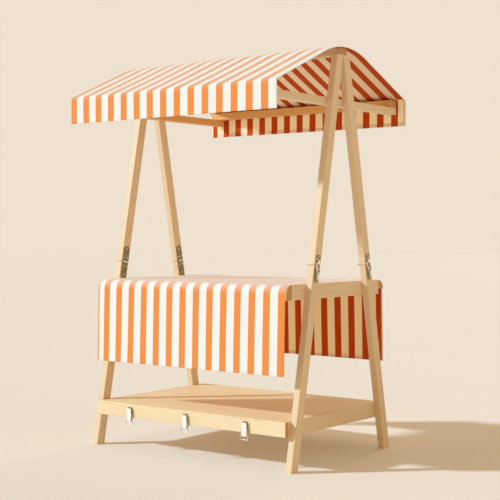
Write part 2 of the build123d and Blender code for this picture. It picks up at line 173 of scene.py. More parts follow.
class ClothSettings(bpy.types.PropertyGroup):
    """The sheet over the counter."""

    flare: angle("Flare", "Lean of the hanging sides off plumb", 1.6)
    stripe_pitch: length("Stripe pitch", "From one orange stripe to the next", 92)
    stripe_width: length("Stripe width", "Width of an orange stripe", 43)
    first_stripe: length("First stripe", "Left edge of the first whole stripe, from the middle", -596.5)
    stripes: count("Stripes", "Number of whole orange stripes", 14)
    part_stripe: length("Part stripe", "Right edge of the part stripe at the left end, from the middle", -632)
    edge_hem: length("Edge hem", "Cloth turned up at the foot of each side", 16)
    end_hem: length("End hem", "Cloth turned under at the ends", 7)
    ripple: length("Ripple", "Depth of the waves at the foot of a side", 4.5)
    # Painted sheen: the stripes are blended toward the white on top of the counter, standing in for the pale
    # glare of the top seen at a grazing angle
    painted_sheen: factor("Fading", "How much paler the stripes are on top of the counter", 0.55)


class FittingSettings(bpy.types.PropertyGroup):
    """Zinc-plated hinges, latches and screws."""

    # Painted light: the bright plating stands in for the sun's glint on the parts that stand out, and the
    # dull plating for dark surroundings reflected in the plates; the tarnish clouds are the zinc's own
    bright: colour("Bright plating", "Levers, wires, hooks, barrels and screws", 250, 249, 245)
    dull: colour("Dull plating", "Plates that lie on the timber", 152, 136, 98)
    tarnish: colour("Tarnish", "Darker patches of the dull plating", 86, 77, 52)
    screw_head: length("Screw head", "Diameter of a screw's head", 7.6)


class StageSettings(bpy.types.PropertyGroup):
    """Camera, light and floor."""

    eye: point("Eye", "Where the camera stands", 4.0572, -5.1773, 1.1887)
    turn: angle("Turn", "Camera's turn from the stall's depth, to the left", 37.5929)
    pitch: angle("Pitch", "Camera's tilt above the horizon", -0.8697)
    lens: number("Lens", "Focal length", 85.24, unit="CAMERA")
    key: number("Key", "Strength of the key light", 2.97, min=0)
    key_tint: colour("Key's tint", "Colour of the key light", 225, 243, 255)
    key_turn: angle("Key's turn", "Direction that the key light shines towards, from +X", 40.8)
    key_height: angle("Key's height", "Height of the key light above the horizon", 28.5)
    key_spread: angle("Key's spread", "How wide the key light looks from the stall", 4)
    back: number("Back light", "Strength of the light from behind", 1.3, min=0)
    back_tint: colour("Back light's tint", "Colour of the back light", 255, 236, 208)
    back_turn: angle("Back light's turn", "Direction that the back light shines towards, from +X", -84)
    back_height: angle("Back light's height", "Height of the back light above the horizon", 9)
    back_spread: angle("Back light's spread", "How wide the back light looks from the stall", 20)
    side: number("Side light", "Strength of the light from the right", 0.3, min=0)
    side_tint: colour("Side light's tint", "Colour of the side light", 255, 224, 178)
    side_turn: angle("Side light's turn", "Direction that the side light shines towards, from +X", 180)
    side_height: angle("Side light's height", "Height of the side light above the horizon", 10)
    side_spread: angle("Side light's spread", "How wide the side light looks from the stall", 60)
    fill: number("Fill", "Strength of the light from all round", 0.5, min=0)
    fill_tint: colour("Fill's tint", "Colour of the light from all round", 255, 224, 178)
    floor: colour("Floor", "Pale floor", 244, 240, 237)
    backdrop: colour("Backdrop", "What the camera sees past the floor", 238, 225, 207)


class Field:
    """A number that varies over a surface. Arithmetic on it adds Math nodes."""

    def __init__(self, finish, socket):
        self.finish = finish
        self.socket = socket

    def math(self, operation, *values, **settings):
        sockets = dict(enumerate((self, *values)))
        return self.finish.add("ShaderNodeMath", {"operation": operation, **settings}, sockets)

    def __add__(self, other):
        return self.math("ADD", other)

    def __sub__(self, other):
        return self.math("SUBTRACT", other)

    def __rsub__(self, other):
        return self.math("MULTIPLY", -1) + other

    def __mul__(self, other):
        return self.math("MULTIPLY", other)

    def __truediv__(self, other):
        return self.math("DIVIDE", other)

    def __pow__(self, other):
        return self.math("POWER", other)

    def __abs__(self):
        return self.math("ABSOLUTE")

    __radd__ = __add__
    __rmul__ = __mul__

    def clamped(self):
        return self.math("ADD", 0, use_clamp=True)

    def rising(self, start, stop):
        """0 up to start, 1 from stop on, and an even slope between."""
        return ((self - start) / (stop - start)).clamped()

    def above_zero(self, blur):
        """0 below zero and 1 above it, blurred over a width."""
        return self.rising(-blur / 2, blur / 2)


# A Mix node's sockets for colours
MIX_INPUTS = (0, 6, 7)
MIX_RESULT = 2


class Finish:
    """The nodes of a material or of the world."""

    def __init__(self, owner):
        owner.use_nodes = True
        self.owner = owner
        self.nodes = owner.node_tree.nodes
        self.links = owner.node_tree.links
        self.nodes.clear()

    def add(self, kind, settings=None, sockets=None, output=0):
        """Any node: its settings first, then the values or links of its sockets."""
        node = self.nodes.new(kind)
        for name, value in (settings or {}).items():
            setattr(node, name, value)
        for name, value in (sockets or {}).items():
            if isinstance(value, Field):
                self.links.new(value.socket, node.inputs[name])
            else:
                node.inputs[name].default_value = value
        return Field(self, node.outputs[output]) if node.outputs else None

    def object_place(self):
        return self.add("ShaderNodeTexCoord", output="Object")

    def scaled(self, vector, *scale):
        return self.add("ShaderNodeVectorMath", {"operation": "MULTIPLY"}, {0: vector, 1: scale})

    def axes(self, vector):
        """The three parts of a vector."""
        first = self.add("ShaderNodeSeparateXYZ", sockets={0: vector})
        return [Field(self, socket) for socket in first.socket.node.outputs]

    def normal(self):
        return self.add("ShaderNodeTexCoord", output="Normal")

    def facing(self, axis):
        """1 where a face looks along an axis of the stall, either way, and 0 where it lies along it."""
        return abs(self.axes(self.normal())[axis])

    def noise(self, vector, scale, detail=2.0, roughness=0.5):
        sockets = {"Vector": vector, "Scale": scale, "Detail": detail, "Roughness": roughness}
        return self.add("ShaderNodeTexNoise", {"noise_dimensions": "3D"}, sockets)

    def blend(self, amount, first, second):
        """A colour between two."""
        sockets = dict(zip(MIX_INPUTS, (amount, opaque(first), opaque(second))))
        return self.add("ShaderNodeMix", {"data_type": "RGBA"}, sockets, MIX_RESULT)

    def shine(self, base, roughness, bump=None, depth=0, **constants):
        """The surface shader, with a relief of so much depth, and the output."""
        sockets = {"Base Color": base, "Roughness": roughness}
        sockets.update({name.replace("_", " "): value for name, value in constants.items()})
        if bump is not None:
            heights = {"Height": bump, "Distance": depth, "Strength": 1.0}
            sockets["Normal"] = self.add("ShaderNodeBump", sockets=heights)
        surface = self.add("ShaderNodeBsdfPrincipled", sockets=sockets)
        self.add("ShaderNodeOutputMaterial", sockets={"Surface": surface})
        return self.owner


def material(name):
    """A new material with no nodes yet."""
    return Finish(bpy.data.materials.new(name))


def opaque(value):
    """A colour with full alpha, or a field as it is."""
    return value if isinstance(value, Field) else (*value, 1.0)


# Timber

PITH_NEAR = 55 * MILLIMETRE
PITH_FAR = 140 * MILLIMETRE
GRAIN_TILT = math.radians(0.5)
GRAIN_DEPTH = 0.25 * MILLIMETRE
TIMBER_SEED = 11
SHIFT_REACH = 50
SATIN = {"Specular_IOR_Level": 0.35, "Coat_Weight": 0.05, "Coat_Roughness": 0.3}
# Bars whose wood carries painted orange bounce light from the canopy
BOUNCE_PAINTED_BARS = ("front_eave_rail", "rear_eave_rail", "left_tie_beam")

# Noise drawn out along the grain: features to the metre along it and across it, and levels of detail
WANDER = (1.3, 6.5, 1.5)
RIPPLE = (4, 30, 2)
STREAK = (1.6, 70, 2)
TONE = (2, 6, 1)
FIBRE = (14, 520, 3)
FIBRE_ROUGHNESS = 0.6

# How far the rings wander and ripple, and the powers of a ring's slow darkening and of its sharp end
WANDER_ACROSS = 16 * MILLIMETRE
WANDER_UP = -11 * MILLIMETRE
RING_RIPPLE = 1.1 * MILLIMETRE
LATE_RISE = 3
LATE_FALL = 14

# Where a finish starts and is full: facing along the grain on sawn ends, facing both ways across it on
# the arrises, and distance from the facing of the bevels at a leg's cut
END_FACING = (0.8, 0.925)
ARRIS_FACING = (0.2, 0.367)
BEVEL_FACING = 0.7
BEVEL_REACH = (0.12, 0.22)

# Shares of the darker wood on the faces and, with END in the name, on the sawn ends
LEAST_DARK = 0.02
RING_DARK = 0.2
STREAK_DARK = 0.42
FIBRE_DARK = 0.2
TONE_DARK = 0.3
END_RING_DARK = 0.7
END_FIBRE_DARK = 0.2
# The arrises are paler: partly sanding wear, partly a painted highlight that they catch
ARRIS_WEAR_AND_HIGHLIGHT = 0.3

# Added roughness and height
FIBRE_ROUGH = 0.25
END_ROUGH = 0.2
ARRIS_ROUGH = 0.08
FIBRE_HEIGHT = 0.6
RING_HEIGHT = 0.5


def bar_turn(direction):
    """Rotation that lays the grain's own X axis along a bar."""
    return Vector(direction).to_track_quat("X", "Z").to_euler()


def leg_axis(side, end):
    """Foot and joint of a leg, on its centre line."""
    feet = {mount["name"]: Vector(mount["pos_m"]) for mount in frame["record"]["mounts"]}
    foot = feet[f"{side}_{end}_foot"]
    low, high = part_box(f"{side}_{end}_leg_hinge")
    joint = Vector((foot.x, (low.y + high.y) / 2, (low.z + high.z) / 2))
    return foot, joint


def grain_of(node):
    """Direction of the grain of a timber node."""
    side, end, *rest = node.split("_")
    if rest and rest[-1] == "leg":
        foot, joint = leg_axis(side, end)
        return joint - foot
    low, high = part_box(node)
    size = high - low
    return Vector((1, 0, 0) if size.x > size.y else (0, 1, 0))


def pale_wood(node, wood):
    """Colour between the ring lines, by bar: painted orange bounce light on the eave rails and the left tie,
    painted sunlight on the shelf's front rail, the board wood on the boards, and early wood elsewhere.
    """
    if node in BOUNCE_PAINTED_BARS:
        return wood.bounce_painted_wood
    # Painted sunlight: a paler wood on the shelf's front rail
    if node == "shelf_front_rail":
        return wood.sunlit_painted_rail_wood
    return wood.board_wood if node in ("counter_board", "shelf_board") else wood.early_wood


def bar_place(finish, node, chance):
    """Place, and facing either way, in a bar's own axes: along the grain, across it and up."""
    low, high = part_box(node)
    turn = bar_turn(grain_of(node))
    turn.rotate_axis("Y", chance.uniform(-GRAIN_TILT, GRAIN_TILT))
    turn.rotate_axis("Z", chance.uniform(-GRAIN_TILT, GRAIN_TILT))
    rotation = tuple(turn)
    centre = tuple((low + high) / 2)
    place = finish.add(
        "ShaderNodeMapping",
        {"vector_type": "TEXTURE"},
        {"Vector": finish.object_place(), "Location": centre, "Rotation": rotation},
    )
    normal = finish.add(
        "ShaderNodeVectorRotate",
        {"rotation_type": "EULER_XYZ", "invert": True},
        {"Vector": finish.normal(), "Rotation": rotation},
    )
    return place, [abs(part) for part in finish.axes(normal)]


def pine(name, node, chance):
    """Planed pine: growth rings round a pith outside the bar, fibres, and darker sawn ends."""
    wood = bpy.context.scene.stall_timber
    pale = pale_wood(node, wood)
    finish = material(name)
    place, (facing_x, facing_y, facing_z) = bar_place(finish, node, chance)
    pith_angle = chance.uniform(0, 2 * math.pi)
    pith = chance.uniform(PITH_NEAR, PITH_FAR)
    shift = (chance.uniform(0, SHIFT_REACH), 0, 0)
    drift = finish.add("ShaderNodeVectorMath", {"operation": "ADD"}, {0: place, 1: shift})

    def figure(along, across, detail, roughness=0.5):
        return finish.noise(finish.scaled(drift, along, across, across), 1.0, detail, roughness)

    wander = figure(*WANDER) - 0.5
    ripple = figure(*RIPPLE) - 0.5
    fibre = figure(*FIBRE, FIBRE_ROUGHNESS)
    _, across, up = finish.axes(place)
    side = across + (wander * WANDER_ACROSS + pith * math.cos(pith_angle))
    rise = up + (wander * WANDER_UP + pith * math.sin(pith_angle))
    radius = (side * side + rise * rise) ** 0.5
    ring = ((radius + ripple * RING_RIPPLE) / wood.ring_spacing).math("FRACT")
    late = ring ** LATE_RISE * (1 - ring ** LATE_FALL)
    end_face = facing_x.rising(*END_FACING)
    arris = (facing_y * facing_z).rising(*ARRIS_FACING)
    rings = late * (RING_DARK + figure(*STREAK) * STREAK_DARK)
    clouds = (fibre - 0.5) * FIBRE_DARK + (figure(*TONE) - 0.5) * TONE_DARK
    face = finish.blend((rings + clouds + LEAST_DARK).clamped(), pale, wood.late_wood)
    end_dark = late * END_RING_DARK + fibre * END_FIBRE_DARK
    ends = finish.blend(end_dark.clamped(), wood.end_grain, wood.late_wood)
    # Arrises blended toward the pale wood: wear and a painted highlight
    base = finish.blend(arris * ARRIS_WEAR_AND_HIGHLIGHT, finish.blend(end_face, face, ends), pale)
    # The bevels at a leg's cut get the seam colour: grime, and painted shade in the groove
    if node.endswith("_leg"):
        bevel = 1 - abs(facing_x - BEVEL_FACING).rising(*BEVEL_REACH)
        base = finish.blend(bevel, base, wood.seam)
    gloss = (fibre - 0.5) * FIBRE_ROUGH + end_face * END_ROUGH + arris * ARRIS_ROUGH + wood.roughness
    height = fibre * FIBRE_HEIGHT + late * RING_HEIGHT
    return finish.shine(base, gloss.clamped(), height, GRAIN_DEPTH, **SATIN)


def cover(node, material):
    """Give a carried-over node its finish."""
    made = frame["nodes"][node]
    made.data.materials.clear()
    made.data.materials.append(material)


def nodes_in(*slots):
    """Names of the nodes with these material slots."""
    wanted = [part["node"] for part in frame["record"]["subparts"] if part["material_slot"] in slots]
    return sorted(wanted)


class STALL_OT_timber(bpy.types.Operator):
    """Finish every timber bar and board, each with its own grain"""

    bl_idname = "stall.timber"
    bl_label = "Timber"

    def execute(self, context):
        chance = random.Random(TIMBER_SEED)
        for node in nodes_in("frame_timber", "edge_timber", "board_timber"):
            cover(node, pine(f"pine_{node}", node, chance))
        return {"FINISHED"}


# Canvas

# Width over which the painted sheen blends in
SHEEN_EDGE_BLUR = 60 * MILLIMETRE
STRIPE_BLUR = 0.8 * MILLIMETRE
WEAVE_DEPTH = 0.22 * MILLIMETRE

# Thick places in the yarns, along a yarn and across it, and weathering, in features to the metre
SLUBS_ALONG = 14.0
SLUBS_ACROSS = 900.0
WEATHERING = (3.5, 4.0, 0.6)

# Shares of the darker tone, the weave's height at which it starts, and the height of the thick places
DARKER_TONE = {"Value": 0.8, "Saturation": 1.06}
LEAST_TONE = 0.06
SLUB_TONE = 0.5
WEATHER_TONE = 0.25
# Painted shade: the canvas is darker where the weave is low, between the yarns
GAP_SHADE = 0.16
GAP_LEVEL = 0.75
SLUB_HEIGHT = 0.6

# Roughness and specular level, and light through the canvas
OUTER_FACE = (0.75, 0.3)
INNER_FACE = (0.86, 0.15)
THROUGH = {"Subsurface_Radius": (1.0, 1.0, 1.0), "Subsurface_Scale": 2 * MILLIMETRE}


def striped(along, sheet, part_stripe):
    """1 on the orange stripes and 0 between them, by the place along the flat cloth."""
    half_stripe = sheet.stripe_width / 2
    middle = sheet.first_stripe + half_stripe
    off_middle = ((along - middle) / sheet.stripe_pitch + 0.5).math("FRACT") - 0.5
    inside = half_stripe - abs(off_middle) * sheet.stripe_pitch
    half_span = sheet.stripes * sheet.stripe_pitch / 2
    span_middle = sheet.first_stripe + half_span - (sheet.stripe_pitch - sheet.stripe_width) / 2
    within = half_span - abs(along - span_middle)
    band = inside.above_zero(STRIPE_BLUR) * within.rising(0, STRIPE_BLUR)
    if part_stripe:
        band = band + (part_stripe - along).above_zero(STRIPE_BLUR)
    return band


def canvas(name, sheet, outer=False, glow=0.0, sheen_reach=None, part_stripe=None):
    """Striped plain weave that follows the flat cloth: smoother outside, with painted shade in the colours
    when not outer, and with a painted sheen that makes the stripes paler within the given reach.
    """
    cloth = bpy.context.scene.stall_canvas
    finish = material(name)
    flat = finish.add("ShaderNodeUVMap", {"uv_map": "flat"})
    along, across, _ = finish.axes(flat)
    band = striped(along, sheet, part_stripe)
    # Painted sheen: the stripes pale toward the white within the given reach of the middle, standing in for
    # glare at a grazing angle
    if sheen_reach:
        top = (sheen_reach - abs(across)).rising(0, SHEEN_EDGE_BLUR)
        band = band * (1 - top * sheet.painted_sheen)
    # Outer faces take the outer colours; inner faces, hems and the lining take the colours with painted shade
    stripe, ground = (cloth.stripe, cloth.ground) if outer else (cloth.shade_painted_stripe, cloth.shade_painted_ground)
    base = finish.blend(band, ground, stripe)
    turns = math.pi / cloth.weave_pitch
    weave = abs((along * turns).math("SINE")) * abs((across * turns).math("SINE"))
    warp_slubs = finish.noise(finish.scaled(flat, SLUBS_ACROSS, SLUBS_ALONG, 1.0), 1.0)
    weft_slubs = finish.noise(finish.scaled(flat, SLUBS_ALONG, SLUBS_ACROSS, 1.0), 1.0)
    slubs = warp_slubs + weft_slubs
    worn = (slubs - 1) * SLUB_TONE + (finish.noise(flat, *WEATHERING) - 0.5) * WEATHER_TONE
    # Slubs and weathering are the cloth's own tone; the term from the weave is painted shade between the
    # yarns
    tone_and_gap_shade = worn + (GAP_LEVEL - weave) * GAP_SHADE + LEAST_TONE
    darker = finish.add("ShaderNodeHueSaturation", sockets={"Color": base, **DARKER_TONE})
    tinted = finish.blend(tone_and_gap_shade.clamped(), base, darker)
    roughness, specular = OUTER_FACE if outer else INNER_FACE
    constants = {"Specular_IOR_Level": specular, "Subsurface_Weight": glow, **THROUGH}
    return finish.shine(tinted, roughness, weave + slubs * SLUB_HEIGHT, WEAVE_DEPTH, **constants)


STRAIGHT = 1e-9


class Path:
    """Section of a bent sheet from its middle outwards: runs and bends, each with a length and a turn."""

    def __init__(self, top, pieces):
        self.top = top
        self.pieces = pieces

    def reach(self):
        return sum(run for run, _ in self.pieces)

    def at(self, distance):
        """Place in Y and Z, and heading below the level, at a distance from the middle."""
        place = Vector((0, self.top))
        heading = 0.0
        left = abs(distance)
        for run, turn in self.pieces:
            step = min(left, run)
            bend = turn * step / run if run else 0
            if abs(bend) > STRAIGHT:
                radius = step / bend
                place += radius * Vector((math.sin(heading + bend) - math.sin(heading), 0))
                place -= radius * Vector((0, math.cos(heading) - math.cos(heading + bend)))
            else:
                place += step * Vector((math.cos(heading), -math.sin(heading)))
            heading += bend
            left -= step
            if left <= 0:
                break
        return place, heading


# Fold and layer of a hem, as shares of the thickness, and the fold's radii along which the hem settles
FOLD_RADIUS = 1.1
HEM_LAYER = 1.25
SETTLING = 6


def turned_under(distance, edge, radius, layer):
    """Place and depth of cloth whose margin past edge is folded under."""
    over = abs(distance) - edge
    if over <= 0:
        return distance, 0.0
    sign = math.copysign(1, distance)
    bend = math.pi * radius
    if over < bend:
        turn = over / radius
        return sign * (edge + radius * math.sin(turn)), radius * (1 - math.cos(turn))
    settled = min(1, (over - bend) / (SETTLING * radius))
    return sign * (edge - over + bend), 2 * radius + (layer - 2 * radius) * settled


# Place of the hem's material in a sheet's four: outer face, inner face, hem, and the hem's hidden side
HEM = 2

# Half length, half width and half height of a stitch
STITCH = (1.45 * MILLIMETRE, 0.34 * MILLIMETRE, 0.26 * MILLIMETRE)
STITCH_PITCH = 4.2 * MILLIMETRE
STITCH_INSET = 4 * MILLIMETRE

# Twists of the thread to the metre, its darkest tone as a share of its colour, and how much is mixed in
THREAD_TWIST = 900.0
THREAD_DARKEST = 0.62
THREAD_MIX = 0.35
THREAD_ROUGHNESS = 0.8


class Sheet:
    """A striped sheet laid over the stall, with its margins folded under."""

    step = 11 * MILLIMETRE
    fold_steps = 4
    hem_steps = 3
    bend_steps = 8
    longest_bend = 100 * MILLIMETRE

    def __init__(self, path, half_length, reach, hems, thickness, waves):
        self.path = path
        self.fold = FOLD_RADIUS * thickness
        self.layer = HEM_LAYER * thickness
        self.bend = math.pi * self.fold
        self.end_hem, self.edge_hem = hems
        self.end = half_length - (self.fold if self.end_hem else 0)
        self.edge = reach - (self.fold if self.edge_hem else 0)
        self.thickness = thickness
        self.waves = waves

    def margin(self, hem):
        """Cloth past an edge: its fold and its hem."""
        return self.bend + hem if hem else 0

    def flat(self):
        """Width and length of the cut."""
        return 2 * (self.end + self.margin(self.end_hem)), 2 * (self.edge + self.margin(self.edge_hem))

    def point(self, along, across, lift=0.0):
        """Where a point of the flat cloth lies."""
        x, end_depth = turned_under(along, self.end, self.fold, self.layer)
        y_run, edge_depth = turned_under(across, self.edge, self.fold, self.layer)
        place, heading = self.path.at(y_run)
        out = lift + self.waves(x, y_run) - end_depth - edge_depth
        sign = math.copysign(1, y_run)
        y = place.x + out * math.sin(heading)
        return Vector((x, sign * y, place.y + out * math.cos(heading)))

    def stations(self, edge, hem, extra=()):
        """Places of the grid lines: even on the sheet, close in the folds."""
        count = max(2, round(edge / self.step))
        half = sorted({edge * index / count for index in range(count + 1)} | set(extra))
        if hem:
            half += [edge + self.bend * (index + 1) / self.fold_steps for index in range(self.fold_steps)]
            half += [edge + self.bend + hem * (index + 1) / self.hem_steps for index in range(self.hem_steps)]
        return [-value for value in reversed(half[1:])] + half

    def bend_stations(self):
        """Extra grid lines in the tight bends."""
        extra = []
        start = 0.0
        for run, turn in self.path.pieces:
            if turn and run < self.longest_bend:
                extra += [start + run * index / self.bend_steps for index in range(self.bend_steps + 1)]
            start += run
        return [value for value in extra if value < self.edge]

    def build(self, name, materials):
        """The sheet as a mesh, with its place in the flat cloth as a UV map, and its thickness on top."""
        columns = self.stations(self.end, self.end_hem)
        rows = self.stations(self.edge, self.edge_hem, self.bend_stations())
        mesh = bmesh.new()
        bmesh.ops.create_grid(mesh, x_segments=len(columns) - 1, y_segments=len(rows) - 1, size=1)
        flat_map = mesh.loops.layers.uv.new("flat")
        cut = {}
        for vertex in mesh.verts:
            column = round((vertex.co.x + 1) / 2 * (len(columns) - 1))
            row = round((vertex.co.y + 1) / 2 * (len(rows) - 1))
            cut[vertex] = (columns[column], rows[row])
            vertex.co = self.point(*cut[vertex])
        for face in mesh.faces:
            face.smooth = True
            for loop in face.loops:
                loop[flat_map].uv = cut[loop.vert]
            past_end = max(abs(cut[vertex][0]) for vertex in face.verts) > self.end + self.bend
            past_edge = max(abs(cut[vertex][1]) for vertex in face.verts) > self.edge + self.bend
            # Hem faces take the hem material, whose colours carry painted shade
            face.material_index = HEM if past_end or past_edge else 0
        piece = finished(name, mesh, materials)
        skin = piece.modifiers.new("Canvas thickness", "SOLIDIFY")
        skin.thickness = self.thickness
        skin.offset = 0
        skin.material_offset = 1
        return piece

    def stitches(self, mesh, start, stop, lift):
        """A row of stitches from one point of the flat cloth to another."""
        start = Vector(start)
        run = Vector(stop) - start
        size = Matrix.Diagonal((*STITCH, 1))
        count = int(run.length / STITCH_PITCH)
        for index in range(count):
            here = start + run * (index + 0.5) / count
            ahead = here + run.normalized() * MILLIMETRE
            aside = here + run.orthogonal().normalized() * MILLIMETRE
            place = self.point(*here, lift)
            x_axis = (self.point(*ahead, lift) - place).normalized()
            y_axis = (self.point(*aside, lift) - place).normalized()
            z_axis = x_axis.cross(y_axis).normalized()
            y_axis = z_axis.cross(x_axis)
            turn = Matrix((x_axis, y_axis, z_axis)).transposed().to_4x4()
            seat = Matrix.Translation(place) @ turn @ size
            bmesh.ops.create_icosphere(mesh, subdivisions=1, radius=1, matrix=seat)


def object_of(name, mesh, materials):
    """Object of a mesh whose place is in its points."""
    data = bpy.data.meshes.new(name)
    mesh.to_mesh(data)
    mesh.free()
    for material in materials:
        data.materials.append(material)
    made = bpy.data.objects.new(name, data)
    bpy.context.scene.collection.objects.link(made)
    return made


def finished(name, mesh, materials):
    """Object of a mesh, riding on the stall."""
    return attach(object_of(name, mesh, materials), BODY)


def sewn(name, rows):
    """Stitches along rows, each given as a sheet, its two ends on the flat cloth, and a lift."""
    mesh = bmesh.new()
    for sheet, start, stop, lift in rows:
        sheet.stitches(mesh, start, stop, lift)
    thread = material(f"{name}_thread")
    shade = thread.noise(thread.object_place(), THREAD_TWIST)
    cotton = bpy.context.scene.stall_canvas.thread
    tint = thread.blend(shade * THREAD_MIX, cotton, shaded(cotton, THREAD_DARKEST))
    return finished(name, mesh, [thread.shine(tint, THREAD_ROUGHNESS)])


def edge_rows(sheet):
    """Stitches along the hems at the foot of both sides, on the outer face and on the inner one."""
    line = sheet.edge - sheet.edge_hem + STITCH_INSET
    lifts = (sheet.thickness / 2, -sheet.thickness / 2 - sheet.layer)
    return [
        (sheet, (-sheet.end, sign * line), (sheet.end, sign * line), lift)
        for lift in lifts
        for sign in (-1, 1)
    ]


def end_rows(sheet, start, stop, lift):
    """Stitches along the hems at both ends, from start to stop on the way across the sheet."""
    line = sheet.end - sheet.end_hem + STITCH_INSET
    return [(sheet, (sign * line, start), (sign * line, stop), lift) for sign in (-1, 1)]


def canopy_path(canopy, half_sheet):
    """Middle of the canvas, just inside the top of the canopy's space."""
    low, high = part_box("canopy")
    top = high.z - half_sheet
    half = high.y - half_sheet
    slope = canopy.slope
    ridge = canopy.ridge_radius
    fold = canopy.fold_radius
    run = (half - fold * (1 - math.sin(slope)) - ridge * math.sin(slope)) / math.cos(slope)
    drop = ridge * (1 - math.cos(slope)) + run * math.sin(slope) + fold * math.cos(slope)
    quarter = math.pi / 2 - slope
    valance = top - drop - low.z
    return Path(top, [(ridge * slope, slope), (run, 0.0), (fold * quarter, quarter), (valance, 0.0)])


def unrest(x, y, z):
    """Smooth noise between about -1 and 1."""
    return noise.noise(Vector((x, y, z)))


# Share of the ridge's round at which the sag starts, and the power of its end at the frames
SAG_START = 0.4
SAG_END = 4

# Smooth waves: so many to the metre, and where the noise is read, by side and with a change downwards
SLOPE_UNREST = 1.2 * MILLIMETRE
SLOPE_WAVES_ALONG = 2.3
SLOPE_WAVES_ACROSS = 2.1
SLOPE_SLICE = 4.2
SWAY_WAVES = 5.2
SWAY_SIDE = 3.7
SWAY_CHANGE = 0.4
SWELL_WAVES = 1.7
SWELL_SIDE = 8.1
SWELL_SLICE = 2.0
SWELL_SHARE = 0.7


class STALL_OT_canopy(bpy.types.Operator):
    """Striped canopy over the ridge and the eaves, its lining, hems and stitching"""

    bl_idname = "stall.canopy"
    bl_label = "Canopy"

    def execute(self, context):
        scene = context.scene
        canopy = scene.stall_canopy
        lining = scene.stall_lining
        cloth = scene.stall_canvas
        path = canopy_path(canopy, cloth.thickness / 2)
        half_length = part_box("canopy")[1].x
        ridge_run, slope_run, fold_run, valance = [run for run, _ in path.pieces]
        eave = ridge_run + slope_run
        top_of_valance = eave + fold_run

        def waves(x, run):
            away = abs(run)
            if away < top_of_valance:
                sag_start = SAG_START * ridge_run
                share = min(1.0, max(0.0, (away - sag_start) / (eave - sag_start)))
                bays = 1 - (x / half_length) ** SAG_END
                wave = unrest(x * SLOPE_WAVES_ALONG, run * SLOPE_WAVES_ACROSS, SLOPE_SLICE)
                return -math.sin(math.pi * share) * (canopy.sag * bays + SLOPE_UNREST * wave)
            hang = (away - top_of_valance) / valance
            sway = unrest(x * SWAY_WAVES, math.copysign(SWAY_SIDE, run), SWAY_CHANGE * hang)
            swell = unrest(x * SWELL_WAVES, math.copysign(SWELL_SIDE, run), SWELL_SLICE)
            return canopy.ripple * hang * (sway + SWELL_SHARE * swell)

        def lining_waves(x, run):
            return waves(x, run) - lining.level

        hems = (canopy.end_hem, canopy.edge_hem)
        sheet = Sheet(path, half_length, path.reach(), hems, cloth.thickness, waves)
        lining_reach = eave - lining.eave_inset
        lining_end = half_length - lining.end_inset
        under = Sheet(path, lining_end, lining_reach, (0, 0), lining.thickness, lining_waves)
        # Painted sheen on the slopes, up to just past the eaves
        outer = canvas("canopy_canvas_outer", canopy, outer=True, sheen_reach=eave + SHEEN_EDGE_BLUR / 2)
        # Inner face, hems and lining: colours with painted shade
        inner = canvas("canopy_canvas_inner", canopy, glow=1.0)
        hem = canvas("canopy_canvas_hem", canopy)
        lined = canvas("canopy_canvas_lining", lining)
        piece = sheet.build("canopy_sheet", [outer, inner, hem, hem])
        lining_piece = under.build("canopy_lining", [lined, lined])
        stitching = sewn("canopy_stitching", self.rows(sheet, under, top_of_valance))
        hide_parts("canopy")
        sheet.flat()
        under.flat()
        return {"FINISHED"}

    def rows(self, sheet, under, top_of_valance):
        """Rows of stitches: the hems, and the lining's edges."""
        face = sheet.thickness / 2
        back = -face - sheet.layer
        lining_face = -under.thickness / 2
        rows = edge_rows(sheet) + end_rows(sheet, -sheet.edge, sheet.edge, face)
        line = under.end - STITCH_INSET
        for sign in (-1, 1):
            rows += end_rows(sheet, sign * top_of_valance, sign * sheet.edge, back)
            rows.append((under, (sign * line, -under.edge), (sign * line, under.edge), lining_face))
        return rows


# Flat of the rear nosing under its round
NOSING_FLAT = 2 * MILLIMETRE

# Smooth waves of the cloth, in the same terms: on top, in folds, and in slow billows
TOP_UNREST = 0.3 * MILLIMETRE
TOP_WAVES = 6
TOP_SLICE = 1.3
FOLD_WAVES = 4.1
FOLD_SIDE = 5.3
FOLD_CHANGE = 0.7
FOLD_LEAN = 0.5
FOLD_SHARE = 0.9
BILLOW_WAVES = 1.6
BILLOW_SHIFT = 9.0
BILLOW_CHANGE = 0.3
WAVE_GROWTH = 1.2


def cloth_path(cloth):
    """Middle of the cloth: flat over the counter, round the nosings and down."""
    low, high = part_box("counter_cloth")
    nosing_low, nosing_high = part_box("counter_rear_nosing")
    half_sheet = (high.z - nosing_high.z) / 2
    top = high.z - half_sheet
    corner = nosing_high.z - nosing_low.z - NOSING_FLAT
    radius = corner + half_sheet
    turn = math.pi / 2 - cloth.flare
    flat_half = nosing_high.y - corner
    hang_top = top - radius * (1 - math.cos(turn))
    hang = (hang_top - low.z) / math.cos(cloth.flare)
    return Path(top, [(flat_half, 0.0), (radius * turn, turn), (hang, 0.0)])


